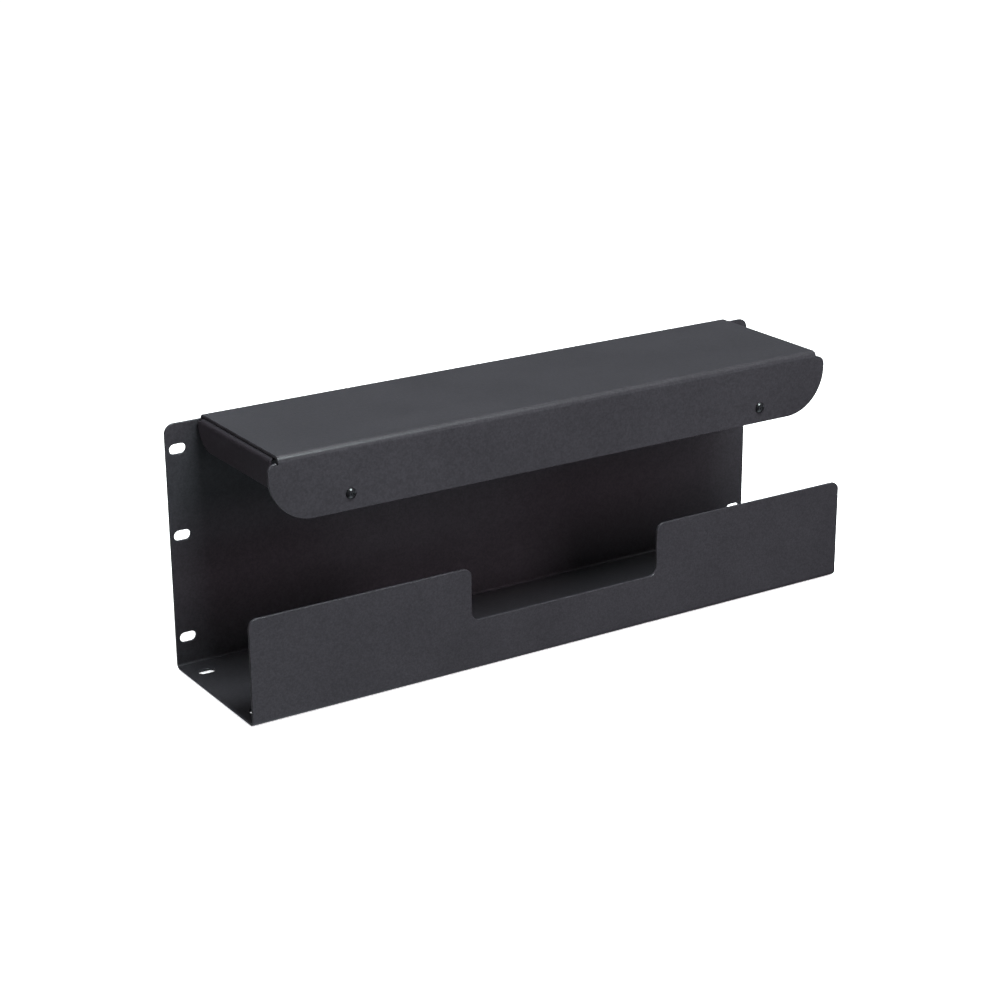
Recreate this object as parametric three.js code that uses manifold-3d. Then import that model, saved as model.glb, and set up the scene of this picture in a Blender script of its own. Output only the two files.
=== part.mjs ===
// Cable tray with hood, in the 19-inch 4U panel format.
//
// A folded steel tray (back panel, floor, front lip), a folded hood on the front of the
// back panel's upper edge (rear flange, top plate, front flange with rounded ears), an
// inverted bracket close under the hood's top plate, and two button-head screws through
// the hood's front flange into two clinch nuts in the bracket's front flange.
//
// Millimetres. +Z up, front towards -Y, +X to the right seen from the front.
// Origin: middle of the assembly's footprint, on the underside of the floor.

import * as THREE from 'three';
import { mergeVertices } from 'three/addons/utils/BufferGeometryUtils.js';
import Module from 'manifold-3d';

// ---------------------------------------------------------------- dimensions
const WIDTH = 482.6;            // overall width, 19-inch panel
const HEIGHT = 177.0;           // overall height, 4 rack units
const SHEET = 2.0;              // steel sheet thickness
const R_IN = 2.0;               // inner bend radius
const R_OUT = R_IN + SHEET;     // outer bend radius
const DEPTH = 114.2;            // rear face of the back panel to front face of the lip

const EAR_TOP = HEIGHT - R_OUT; // top of the back panel and of the front flange's ears
const BACK_CORNER_R = 7.0;      // upper corners of the back panel

const LIP_HEIGHT = 74.0;
const LIP_CORNER_R = 6.0;
const NOTCH_WIDTH = 153.0;
const NOTCH_FLOOR = 36.0;       // height of the notch's lower edge
const NOTCH_R = 6.0;

const HOOD_WIDTH = 431.2;       // width of the top plate and its two bends
const HOOD_FRONT = 111.5;       // front face of the back panel to front face of the hood
const HOOD_REAR_HEIGHT = 15.0;  // rear flange, from the top
const FLANGE_WIDTH = 446.2;     // front flange over its ears
const FLANGE_BOTTOM = 132.5;    // height of the front flange's lower edge
const FLANGE_R_UP = 6.5;        // upper corner of each ear
const FLANGE_R_LOW = 32.0;      // lower corner of each ear
const RELIEF_W = 1.0;           // bend relief beside the hood's front bend
const RELIEF_D = 1.5;

const SLOT_LENGTH = 12.0;
const SLOT_WIDTH = 7.0;
const SLOT_INSET = 8.75;                    // back panel slots, from each end
const SLOT_ROWS = [21.8, 94.85, 155.2];     // heights of the back panel slots
const FLOOR_SLOT_INSET = 13.0;              // floor slots, from each end
const FLOOR_SLOT_EDGE = 19.2;               // floor slots, from the rear and front faces

const GAP = 0.3;                // clearance between faces that rest on each other

const BRACKET_WIDTH = 435.8;    // over the bracket's end flanges
const BRACKET_END_HEIGHT = 20.5;
const BRACKET_END_R = 17.0;     // rear lower corner of each end flange
const BRACKET_END_REAR = 1.4;   // end flanges stop this far in front of the back panel
const BRACKET_FRONT_HEIGHT = 38.0;
const BRACKET_FRONT_WIDTH = 396.0;
const BRACKET_FRONT_R = 12.0;
const BRACKET_RELIEF = 1.5;

const SCREW_SPACING = 330.3;
const SCREW_HEIGHT = 143.8;
const HEAD_R = 3.8;             // M4 button head
const HEAD_H = 2.2;
const CROWN_R = 1.6;            // flat top of the head, around the socket
const DOME_R = 4.43;            // radius of the domed part
const SOCKET_AF = 2.5;          // hexagon socket across flats
const SOCKET_DEPTH = 1.3;
const SHANK_R = 1.8;
const SHANK_LENGTH = 8.0;
const HOOD_HOLE_R = 2.25;       // clearance holes in the hood's front flange
const BRACKET_HOLE_R = 3.0;     // holes that the clinch nuts are pressed into
const NUT_R = 3.95;
const NUT_T = 2.0;
const NUT_SHANK_R = 2.7;
const NUT_BORE_R = 2.1;

// ---------------------------------------------------------------- frame
// The section is drawn in sheet coordinates: x from 0 to WIDTH, y = 0 on the front face
// of the back panel, z = 0 under the floor. The group is then moved to the part's frame.
const BACK_Y = SHEET;                 // rear face of the back panel
const FRONT_Y = SHEET - DEPTH;        // front face of the lip
const HOOD_Y = -HOOD_FRONT;           // front face of the hood's front flange
const HEAD_Y = HOOD_Y - 0.25;         // underside of each screw head
const MID_Y = (BACK_Y + HEAD_Y - HEAD_H) / 2;

// ---------------------------------------------------------------- solids
const wasm = await Module();
wasm.setup();

function solidOf(geometry) {
  const g = geometry.index ? geometry.clone() : geometry.clone();
  g.deleteAttribute('normal');
  g.deleteAttribute('uv');
  const m = mergeVertices(g, 1e-4);
  return new wasm.Manifold(new wasm.Mesh({
    numProp: 3,
    vertProperties: new Float32Array(m.attributes.position.array),
    triVerts: new Uint32Array(m.index.array),
  }));
}

function geometryOf(solid) {
  const m = solid.getMesh();
  const g = new THREE.BufferGeometry();
  const n = m.vertProperties.length / m.numProp;
  const p = new Float32Array(n * 3);
  for (let i = 0; i < n; i++) {
    for (let k = 0; k < 3; k++) p[3 * i + k] = m.vertProperties[m.numProp * i + k];
  }
  g.setAttribute('position', new THREE.BufferAttribute(p, 3));
  g.setIndex(new THREE.BufferAttribute(new Uint32Array(m.triVerts), 1));
  g.computeVertexNormals();
  return g;
}

// Prisms of a closed outline [[a, b], ...] along each axis.
function prism(points, depth) {
  const shape = new THREE.Shape(points.map(([a, b]) => new THREE.Vector2(a, b)));
  return new THREE.ExtrudeGeometry(shape, { depth, steps: 1, bevelEnabled: false });
}
const alongX = new THREE.Matrix4().set(0, 0, 1, 0, 1, 0, 0, 0, 0, 1, 0, 0, 0, 0, 0, 1);
const alongY = new THREE.Matrix4().set(1, 0, 0, 0, 0, 0, -1, 0, 0, 1, 0, 0, 0, 0, 0, 1);

// outline in (y, z), from x0 to x1
function prismX(points, x0, x1) {
  const g = prism(points, x1 - x0);
  g.applyMatrix4(alongX);
  g.translate(x0, 0, 0);
  return solidOf(g);
}
// outline in (x, z), from y0 to y1
function prismY(points, y0, y1) {
  const g = prism(points, y1 - y0);
  g.applyMatrix4(alongY);
  g.translate(0, y1, 0);
  return solidOf(g);
}
// outline in (x, y), from z0 to z1
function prismZ(points, z0, z1) {
  const g = prism(points, z1 - z0);
  g.translate(0, 0, z0);
  return solidOf(g);
}

// Points of an arc about (ca, cb), angles in degrees.
function arc(ca, cb, r, a0, a1, n) {
  const out = [];
  for (let i = 0; i <= n; i++) {
    const a = THREE.MathUtils.degToRad(a0 + (a1 - a0) * i / n);
    out.push([ca + r * Math.cos(a), cb + r * Math.sin(a)]);
  }
  return out;
}

// Closed section of a folded sheet. `path` holds the sharp corners of the sheet's middle
// surface; every corner is a right angle, bent to the inner radius rIn.
function foldedSection(path, t, rIn, n = 8) {
  const rMid = rIn + t / 2;
  const left = [], right = [];
  const dir = (a, b) => {
    const l = Math.hypot(b[0] - a[0], b[1] - a[1]);
    return [(b[0] - a[0]) / l, (b[1] - a[1]) / l];
  };
  for (let i = 0; i < path.length; i++) {
    const p = path[i];
    if (i === 0 || i === path.length - 1) {
      const d = i === 0 ? dir(p, path[1]) : dir(path[i - 1], p);
      left.push([p[0] - d[1] * t / 2, p[1] + d[0] * t / 2]);
      right.push([p[0] + d[1] * t / 2, p[1] - d[0] * t / 2]);
      continue;
    }
    const d0 = dir(path[i - 1], p), d1 = dir(p, path[i + 1]);
    const turn = d0[0] * d1[1] - d0[1] * d1[0];     // +1 left turn, -1 right turn
    const c = [p[0] - d0[0] * rMid + d1[0] * rMid, p[1] - d0[1] * rMid + d1[1] * rMid];
    for (let k = 0; k <= n; k++) {
      const f = (k / n) * Math.PI / 2;
      // outward radial direction turns from -turn*normal(d0) to d0
      const nx = [d0[1] * turn, -d0[0] * turn];
      const r = [nx[0] * Math.cos(f) + d0[0] * Math.sin(f), nx[1] * Math.cos(f) + d0[1] * Math.sin(f)];
      const outer = [c[0] + r[0] * (rMid + t / 2), c[1] + r[1] * (rMid + t / 2)];
      const inner = [c[0] + r[0] * (rMid - t / 2), c[1] + r[1] * (rMid - t / 2)];
      if (turn > 0) { left.push(inner); right.push(outer); } else { left.push(outer); right.push(inner); }
    }
  }
  return left.concat(right.reverse());
}

const mirrorX = (pts) => pts.map(([x, b]) => [WIDTH - x, b]).reverse();

// Stadium outline centred on (a, b), its length along the first axis.
function stadium(a, b, length, width, n = 10) {
  const r = width / 2, h = length / 2 - r;
  return [...arc(a + h, b, r, -90, 90, n), ...arc(a - h, b, r, 90, 270, n)];
}
const disc = (a, b, r, n = 32) => arc(a, b, r, 0, 360, n).slice(0, n);

// ---------------------------------------------------------------- tray body
const half = SHEET / 2;
const HOOD_X0 = (WIDTH - HOOD_WIDTH) / 2;
const FLANGE_X0 = (WIDTH - FLANGE_WIDTH) / 2;
const NOTCH_X0 = (WIDTH - NOTCH_WIDTH) / 2;
const SCREW_X = [(WIDTH - SCREW_SPACING) / 2, (WIDTH + SCREW_SPACING) / 2];

function trayBody() {
  const yf = FRONT_Y + half, yb = half;
  const section = foldedSection([
    [yf, LIP_HEIGHT], [yf, half], [yb, half], [yb, EAR_TOP],
  ], SHEET, R_IN, 10);
  let body = prismX(section, 0, WIDTH);

  const cut = (s) => { body = body.subtract(s); };

  // Upper corners of the back panel.
  const backCorner = [
    [-1, EAR_TOP - BACK_CORNER_R],
    ...arc(BACK_CORNER_R, EAR_TOP - BACK_CORNER_R, BACK_CORNER_R, 180, 90, 10),
    [BACK_CORNER_R, EAR_TOP + 2], [-1, EAR_TOP + 2],
  ].reverse();
  cut(prismY(backCorner, -4, 6));
  cut(prismY(mirrorX(backCorner), -4, 6));

  // Lip: rounded upper corners and the notch.
  const lipCorner = [
    [-1, LIP_HEIGHT - LIP_CORNER_R],
    ...arc(LIP_CORNER_R, LIP_HEIGHT - LIP_CORNER_R, LIP_CORNER_R, 180, 90, 10),
    [LIP_CORNER_R, LIP_HEIGHT + 2], [-1, LIP_HEIGHT + 2],
  ].reverse();
  cut(prismY(lipCorner, FRONT_Y - 4, FRONT_Y + 7));
  cut(prismY(mirrorX(lipCorner), FRONT_Y - 4, FRONT_Y + 7));
  const notchHalf = [
    [NOTCH_X0 - NOTCH_R, LIP_HEIGHT + 2],
    ...arc(NOTCH_X0 - NOTCH_R, LIP_HEIGHT - NOTCH_R, NOTCH_R, 90, 0, 10),
    ...arc(NOTCH_X0 + NOTCH_R, NOTCH_FLOOR + NOTCH_R, NOTCH_R, 180, 270, 10),
  ];
  cut(prismY([...notchHalf, ...mirrorX(notchHalf)], FRONT_Y - 4, FRONT_Y + 7));

  // Slots in the back panel.
  for (const z of SLOT_ROWS) {
    for (const x of [SLOT_INSET, WIDTH - SLOT_INSET]) {
      cut(prismY(stadium(x, z, SLOT_LENGTH, SLOT_WIDTH), -3, 5));
    }
  }
  // Slots in the floor.
  for (const y of [BACK_Y - FLOOR_SLOT_EDGE, FRONT_Y + FLOOR_SLOT_EDGE]) {
    for (const x of [FLOOR_SLOT_INSET, WIDTH - FLOOR_SLOT_INSET]) {
      cut(prismZ(stadium(x, y, SLOT_LENGTH, SLOT_WIDTH), -3, 5));
    }
  }
  return body;
}

// ---------------------------------------------------------------- hood
function hoodShell() {
  // Its rear flange lies against the front of the back panel, GAP clear of it.
  const yf = HOOD_Y + half, yb = -GAP - half;
  const section = foldedSection([
    [yb, HEIGHT - HOOD_REAR_HEIGHT], [yb, HEIGHT - half],
    [yf, HEIGHT - half], [yf, FLANGE_BOTTOM],
  ], SHEET, R_IN, 10);
  let body = prismX(section, FLANGE_X0, WIDTH - FLANGE_X0);
  const cut = (s) => { body = body.subtract(s); };

  // Top plate, rear bend and rear flange narrower than the front flange.
  const end = [[-1, 100], [HOOD_X0, 100], [HOOD_X0, HEIGHT + 9], [-1, HEIGHT + 9]];
  cut(prismY(end, HOOD_Y + 6, 6));
  cut(prismY(mirrorX(end), HOOD_Y + 6, 6));

  // Front ears: small upper and large lower corner, and a relief beside the bend.
  const ear = [
    [-1, FLANGE_BOTTOM - 1],
    [FLANGE_X0 + FLANGE_R_LOW, FLANGE_BOTTOM - 1],
    ...arc(FLANGE_X0 + FLANGE_R_LOW, FLANGE_BOTTOM + FLANGE_R_LOW, FLANGE_R_LOW, 270, 180, 20),
    ...arc(FLANGE_X0 + FLANGE_R_UP, EAR_TOP - FLANGE_R_UP, FLANGE_R_UP, 180, 90, 10),
    [HOOD_X0 - RELIEF_W, EAR_TOP],
    [HOOD_X0 - RELIEF_W, EAR_TOP - RELIEF_D],
    [HOOD_X0, EAR_TOP - RELIEF_D],
    [HOOD_X0, HEIGHT + 9], [-1, HEIGHT + 9],
  ];
  cut(prismY(ear, HOOD_Y - 4, HOOD_Y + 7));
  cut(prismY(mirrorX(ear), HOOD_Y - 4, HOOD_Y + 7));

  // Lower corners of the rear flange.
  const rearCorner = [
    [HOOD_X0 - 1, HEIGHT - HOOD_REAR_HEIGHT - 1],
    [HOOD_X0 + 5, HEIGHT - HOOD_REAR_HEIGHT - 1],
    ...arc(HOOD_X0 + 5, HEIGHT - HOOD_REAR_HEIGHT + 5, 5, 270, 180, 6),
    [HOOD_X0 - 1, HEIGHT - HOOD_REAR_HEIGHT + 5],
  ];
  cut(prismY(rearCorner, -5, 5));
  cut(prismY(mirrorX(rearCorner), -5, 5));

  // Screw holes in the front flange.
  for (const x of SCREW_X) cut(prismY(disc(x, SCREW_HEIGHT, HOOD_HOLE_R), HOOD_Y - 3, HOOD_Y + 5));
  return body;
}

// ---------------------------------------------------------------- inner bracket
const BR_TOP = HEIGHT - SHEET - GAP;                 // upper face of the bracket
const BR_FRONT = HOOD_Y + SHEET + GAP;               // front face of its front flange
const BR_REAR = -BRACKET_END_REAR;                   // rear edge of the end flanges
const BR_TOP_REAR = -GAP - R_OUT - 0.2;              // rear edge of the top, clear of the hood's bend
const BR_X0 = (WIDTH - BRACKET_WIDTH) / 2;

function innerBracket() {
  // Top with the two end flanges, a section in (x, z).
  const zb = BR_TOP - BRACKET_END_HEIGHT;
  const ends = foldedSection([
    [BR_X0 + half, zb], [BR_X0 + half, BR_TOP - half],
    [WIDTH - BR_X0 - half, BR_TOP - half], [WIDTH - BR_X0 - half, zb],
  ], SHEET, R_IN, 8);
  const endFront = BR_FRONT + R_OUT + BRACKET_RELIEF;
  let body = prismY(ends, endFront, BR_REAR);
  const corner = [
    [BR_REAR + 1, zb - 1], [BR_REAR + 1, zb + BRACKET_END_R],
    ...arc(BR_REAR - BRACKET_END_R, zb + BRACKET_END_R, BRACKET_END_R, 0, -90, 14),
    [BR_REAR - BRACKET_END_R, zb - 1],
  ];
  body = body.subtract(prismX(corner, -5, WIDTH + 5));
  const rearStep = [
    [BR_X0 + SHEET, BR_TOP_REAR], [WIDTH - BR_X0 - SHEET, BR_TOP_REAR],
    [WIDTH - BR_X0 - SHEET, 2], [BR_X0 + SHEET, 2],
  ];
  body = body.subtract(prismZ(rearStep, zb - 2, HEIGHT));

  // Front part of the top with the front flange, a section in (y, z).
  const x0 = (WIDTH - BRACKET_FRONT_WIDTH) / 2, x1 = WIDTH - x0;
  const zf = BR_TOP - BRACKET_FRONT_HEIGHT;
  const front = foldedSection([
    [endFront + 2, BR_TOP - half], [BR_FRONT + half, BR_TOP - half], [BR_FRONT + half, zf],
  ], SHEET, R_IN, 8);
  body = body.add(prismX(front, x0, x1));
  const lower = [
    [x0 - 1, zf - 1], [x0 + BRACKET_FRONT_R, zf - 1],
    ...arc(x0 + BRACKET_FRONT_R, zf + BRACKET_FRONT_R, BRACKET_FRONT_R, 270, 180, 10),
    [x0 - 1, zf + BRACKET_FRONT_R],
  ];
  body = body.subtract(prismY(lower, BR_FRONT - 3, BR_FRONT + 3.5));
  body = body.subtract(prismY(mirrorX(lower), BR_FRONT - 3, BR_FRONT + 3.5));

  // Holes that take the clinch nuts.
  for (const x of SCREW_X) body = body.subtract(prismY(disc(x, SCREW_HEIGHT, BRACKET_HOLE_R), BR_FRONT - 3, BR_FRONT + 5));
  return body;
}

// ---------------------------------------------------------------- fasteners
// Lathe about an axis along +Y through (x, z); profile points are [radius, y].
function turned(profile, x, z, segments = 32) {
  const g = new THREE.LatheGeometry(profile.map(([r, y]) => new THREE.Vector2(r, y)), segments);
  g.translate(x, 0, z);
  return solidOf(g);
}

function screw(x) {
  const top = HEAD_Y - HEAD_H;
  // Domed head: a flat crown around the socket, then an arc down to the rim.
  const profile = [[0, top]];
  const a0 = Math.asin(CROWN_R / DOME_R), a1 = Math.asin(HEAD_R / DOME_R), n = 7;
  for (let i = 0; i <= n; i++) {
    const a = a0 + (a1 - a0) * i / n;
    profile.push([DOME_R * Math.sin(a), top + DOME_R * (Math.cos(a0) - Math.cos(a))]);
  }
  const tip = HEAD_Y + SHANK_LENGTH;
  profile.push([HEAD_R, HEAD_Y - 0.1], [HEAD_R - 0.1, HEAD_Y], [SHANK_R, HEAD_Y], [SHANK_R, tip - 0.5], [SHANK_R - 0.5, tip], [0, tip]);
  const socket = [];
  for (let i = 0; i < 6; i++) {
    const a = THREE.MathUtils.degToRad(60 * i + 30);
    const r = SOCKET_AF / 2 / Math.cos(Math.PI / 6);
    socket.push([x + r * Math.cos(a), SCREW_HEIGHT + r * Math.sin(a)]);
  }
  return turned(profile, x, SCREW_HEIGHT).subtract(prismY(socket, top - 2, top + SOCKET_DEPTH));
}

function clinchNut(x) {
  const face = BR_FRONT + SHEET + GAP;                 // seat of the nut on the bracket
  return turned([
    [NUT_BORE_R, BR_FRONT + 0.2], [NUT_SHANK_R, BR_FRONT + 0.2], [NUT_SHANK_R, face],
    [NUT_R, face], [NUT_R, face + NUT_T - 0.4], [NUT_R - 0.4, face + NUT_T],
    [NUT_BORE_R, face + NUT_T], [NUT_BORE_R, BR_FRONT + 0.2],
  ], x, SCREW_HEIGHT);
}

// ---------------------------------------------------------------- assembly
const powderCoat = { color: 0x3a3b3f, roughness: 0.55, metalness: 0.0 };
const tray = new THREE.Group();
tray.position.set(-WIDTH / 2, -MID_Y, 0);

function add(name, solid, look) {
  const mesh = new THREE.Mesh(geometryOf(solid), new THREE.MeshStandardMaterial(look));
  mesh.name = name;
  tray.add(mesh);
}

add('tray_body', trayBody(), powderCoat);
add('hood', hoodShell(), powderCoat);
add('inner_bracket', innerBracket(), powderCoat);
add('screw_left', screw(SCREW_X[0]), { color: 0x1c1c1e, roughness: 0.35, metalness: 0.8 });
add('screw_right', screw(SCREW_X[1]), { color: 0x1c1c1e, roughness: 0.35, metalness: 0.8 });
add('clinch_nut_left', clinchNut(SCREW_X[0]), { color: 0xb4b6ba, roughness: 0.4, metalness: 0.9 });
add('clinch_nut_right', clinchNut(SCREW_X[1]), { color: 0xb4b6ba, roughness: 0.4, metalness: 0.9 });

const model = new THREE.Group();
model.add(tray);
model.updateMatrixWorld(true);

export default model;
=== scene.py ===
# Cable tray: folded steel tray, folded hood, inner bracket, two button-head screws and
# two clinch nuts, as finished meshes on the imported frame. Metres, +Z up, front towards -Y.
import math
import bmesh
import bpy
import numpy as np
from mathutils import Matrix, Vector
from mathutils.geometry import delaunay_2d_cdt


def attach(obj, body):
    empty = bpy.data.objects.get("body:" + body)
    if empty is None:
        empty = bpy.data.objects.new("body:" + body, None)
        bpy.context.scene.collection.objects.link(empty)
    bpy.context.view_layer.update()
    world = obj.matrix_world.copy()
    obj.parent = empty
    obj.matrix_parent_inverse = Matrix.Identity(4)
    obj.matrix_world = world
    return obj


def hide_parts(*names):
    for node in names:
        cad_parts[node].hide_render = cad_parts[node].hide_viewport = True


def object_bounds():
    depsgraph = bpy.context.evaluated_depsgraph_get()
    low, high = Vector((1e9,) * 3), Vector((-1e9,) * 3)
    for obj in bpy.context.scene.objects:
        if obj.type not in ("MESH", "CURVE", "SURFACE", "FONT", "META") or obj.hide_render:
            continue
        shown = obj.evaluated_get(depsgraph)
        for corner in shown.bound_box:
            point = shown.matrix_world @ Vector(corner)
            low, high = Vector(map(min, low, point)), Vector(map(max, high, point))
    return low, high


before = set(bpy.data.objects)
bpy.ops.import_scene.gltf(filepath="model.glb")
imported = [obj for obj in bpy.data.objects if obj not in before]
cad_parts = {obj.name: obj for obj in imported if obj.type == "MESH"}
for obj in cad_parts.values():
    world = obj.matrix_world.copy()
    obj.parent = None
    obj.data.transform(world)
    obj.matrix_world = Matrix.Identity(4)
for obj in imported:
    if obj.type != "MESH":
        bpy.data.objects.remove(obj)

CAD_LO, CAD_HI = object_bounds()
CAD_LO, CAD_HI = list(CAD_LO), list(CAD_HI)

# ------------------------------------------------------------------ dimensions, millimetres
WIDTH, HEIGHT, SHEET = 482.6, 177.0, 2.0
R_IN = 2.0
R_MID = R_IN + SHEET / 2
R_OUT = R_IN + SHEET
DEPTH = 114.2
EAR_TOP = HEIGHT - R_OUT
BACK_CORNER_R = 7.0
LIP_HEIGHT, LIP_CORNER_R = 74.0, 6.0
NOTCH_WIDTH, NOTCH_FLOOR, NOTCH_R = 153.0, 36.0, 6.0
HOOD_WIDTH, HOOD_FRONT, HOOD_REAR_HEIGHT = 431.2, 111.5, 15.0
FLANGE_WIDTH, FLANGE_BOTTOM, FLANGE_R_UP, FLANGE_R_LOW = 446.2, 132.5, 6.5, 32.0
RELIEF_W, RELIEF_D = 1.0, 1.5
SLOT_LENGTH, SLOT_WIDTH, SLOT_INSET = 12.0, 7.0, 8.75
SLOT_ROWS = (21.8, 94.85, 155.2)
FLOOR_SLOT_INSET, FLOOR_SLOT_EDGE = 13.0, 19.2
GAP = 0.3
BRACKET_WIDTH, BRACKET_END_HEIGHT, BRACKET_END_R, BRACKET_END_REAR = 435.8, 20.5, 17.0, 1.4
BRACKET_FRONT_HEIGHT, BRACKET_FRONT_WIDTH, BRACKET_FRONT_R, BRACKET_RELIEF = 38.0, 396.0, 12.0, 1.5
SCREW_SPACING, SCREW_HEIGHT = 330.3, 143.8
HEAD_R, HEAD_H, CROWN_R, DOME_R = 3.8, 2.2, 1.6, 4.43
SOCKET_AF, SOCKET_DEPTH, SHANK_R, SHANK_LENGTH = 2.5, 1.3, 1.8, 8.0
HOOD_HOLE_R, BRACKET_HOLE_R = 2.25, 3.0
NUT_R, NUT_T, NUT_SHANK_R, NUT_BORE_R = 3.95, 2.0, 2.7, 2.1

EDGE = 0.38          # softened edge of the coated sheet
BEND_STEPS = 12
MESH = 18.0          # spacing of the mesh on flat areas

FRONT_Y = SHEET - DEPTH
HOOD_Y = -HOOD_FRONT
HEAD_Y = HOOD_Y - 0.25
# Sheet coordinates have x from 0 to WIDTH and y = 0 on the front face of the back panel.
SHIFT = Vector((-WIDTH / 2, CAD_HI[1] * 1000 - SHEET, 0.0))
X_L, X_R = WIDTH / 2 - SCREW_SPACING / 2, WIDTH / 2 + SCREW_SPACING / 2


def row(p):
    """Sheet coordinates in millimetres to the row frame in metres."""
    return (Vector(p) + SHIFT) / 1000.0


# ------------------------------------------------------------------ flat outlines
def arc(cx, cy, r, a0, a1, n):
    """Points of an arc, angles in degrees."""
    return [(cx + r * math.cos(math.radians(a0 + (a1 - a0) * i / n)),
             cy + r * math.sin(math.radians(a0 + (a1 - a0) * i / n))) for i in range(n + 1)]


def stadium(cx, cy, length, width, n=14):
    r, h = width / 2, (length - width) / 2
    return arc(cx + h, cy, r, -90, 90, n) + arc(cx - h, cy, r, 90, 270, n)


def disc(cx, cy, r, n=40):
    return arc(cx, cy, r, 0, 360, n)[:-1]


def clean(points, eps=1e-5):
    out = []
    for p in points:
        if not out or math.dist(out[-1], p) > eps:
            out.append(p)
    if math.dist(out[0], out[-1]) <= eps:
        out.pop()
    return out


def area(points):
    return 0.5 * sum(a[0] * b[1] - b[0] * a[1] for a, b in zip(points, points[1:] + points[:1]))


def soften(points, r=0.46, limit=35.0):
    """Rounds the sharp corners of an outline."""
    n = len(points)
    turns = []
    for i in range(n):
        a = Vector(points[i]) - Vector(points[i - 1])
        b = Vector(points[(i + 1) % n]) - Vector(points[i])
        turns.append(a.angle_signed(b))
    out = []
    for i in range(n):
        turn = abs(turns[i])
        if math.degrees(turn) < limit:
            out.append(tuple(points[i]))
            continue
        p, c, q = Vector(points[i - 1]), Vector(points[i]), Vector(points[(i + 1) % n])
        room = []
        for v, other in ((p, i - 1), (q, (i + 1) % n)):
            share = 0.48 if math.degrees(abs(turns[other])) >= limit else 0.95
            room.append((v - c).length * share)
        t = min(r * math.tan(turn / 2), *room)
        rr = t / math.tan(turn / 2)
        a, b = (c - p).normalized(), (q - c).normalized()
        start = c - a * t
        inward = Vector((-a.y, a.x)) if a.x * b.y - a.y * b.x > 0 else Vector((a.y, -a.x))
        centre = start + inward * rr
        for k in range(5):
            w = turn * k / 4
            out.append(tuple(centre - inward * rr * math.cos(w) + a * rr * math.sin(w)))
    return clean(out)


def split_at(points, levels):
    """Adds the outline's crossings with the lines v = level."""
    out, n = [], len(points)
    for i in range(n):
        p, q = points[i], points[(i + 1) % n]
        out.append(p)
        cuts = []
        for v in levels:
            if (p[1] - v) * (q[1] - v) < -1e-12 and abs(q[1] - p[1]) > 1e-9:
                w = (v - p[1]) / (q[1] - p[1])
                if 1e-6 < w < 1 - 1e-6:
                    cuts.append((w, (p[0] + w * (q[0] - p[0]), v)))
        out += [c for _, c in sorted(cuts)]
    return clean(out)


def split_long(points, step):
    out, n = [], len(points)
    for i in range(n):
        p, q = points[i], points[(i + 1) % n]
        k = max(1, int(math.dist(p, q) // step))
        out += [(p[0] + (q[0] - p[0]) * j / k, p[1] + (q[1] - p[1]) * j / k) for j in range(k)]
    return out


def swap(points):
    return [(b, a) for a, b in points]


# ------------------------------------------------------------------ folded sheet mesh
class Strip:
    """A path in (y, z) of straight runs joined by bends that all turn left; s runs along
    the middle of the sheet. The outer face is on the right of the path."""

    def __init__(self, start, heading, parts):
        self.parts, s = [], 0.0
        p, a = Vector(start), math.radians(heading)
        self.marks = []
        for kind, size in parts:
            d = Vector((math.cos(a), math.sin(a)))
            left = Vector((-d.y, d.x))
            if kind == "run":
                self.parts.append((s, s + size, "run", p.copy(), a))
                p = p + d * size
                s += size
            else:
                c = p + left * R_MID
                length = R_MID * math.radians(size)
                self.parts.append((s, s + length, "bend", c, a))
                self.marks.append((s, s + length))
                a += math.radians(size)
                d2 = Vector((math.cos(a), math.sin(a)))
                p = c + Vector((d2.y, -d2.x)) * R_MID
                s += length
        self.length = s

    def levels(self):
        return [a + (b - a) * i / BEND_STEPS for a, b in self.marks for i in range(BEND_STEPS + 1)]

    def place(self, x, s, off):
        part = self.parts[-1]
        for candidate in self.parts:
            if s <= candidate[1] + 1e-9:
                part = candidate
                break
        s0, s1, kind, p, a = part
        if kind == "run":
            d = Vector((math.cos(a), math.sin(a)))
            right = Vector((d.y, -d.x))
            q = p + d * (s - s0) + right * off
        else:
            a = a + (s - s0) / R_MID
            d = Vector((math.cos(a), math.sin(a)))
            right = Vector((d.y, -d.x))
            q = p + right * (R_MID + off)
        return Vector((x, q.x, q.y)), (Vector((1, 0, 0)), Vector((0, d.x, d.y)), Vector((0, right.x, right.y)))


class Lid:
    """Flat middle part with flanges bent down at both ends (along x) and at the front (along
    v, which runs towards the front). The outer face is up."""

    def __init__(self, top, xa, xb, vf):
        self.top, self.xa, self.xb, self.vf = top, xa, xb, vf

    def place(self, u, v, off):
        def fold(d):
            """Distance past the bend line to (advance, drop, angle)."""
            if d <= 0:
                return None
            a = min(d / R_MID, math.pi / 2)
            rest = d - R_MID * a
            r = R_MID + off
            return r * math.sin(a), -(R_MID - r * math.cos(a)) - rest, a

        y, x = -v, u
        for side, edge in ((-1, self.xa), (1, self.xb)):
            f = fold((u - edge) * side)
            if f:
                a = f[2]
                pos = Vector((edge + side * f[0], y, self.top + f[1]))
                return pos, (Vector((math.cos(a), 0, -side * math.sin(a))), Vector((0, -1, 0)),
                             Vector((side * math.sin(a), 0, math.cos(a))))
        f = fold(v - self.vf)
        if f:
            a = f[2]
            pos = Vector((x, -self.vf - f[0], self.top + f[1]))
            return pos, (Vector((1, 0, 0)), Vector((0, -math.cos(a), -math.sin(a))),
                         Vector((0, -math.sin(a), math.cos(a))))
        return Vector((x, y, self.top + off)), (Vector((1, 0, 0)), Vector((0, -1, 0)), Vector((0, 0, 1)))


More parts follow.
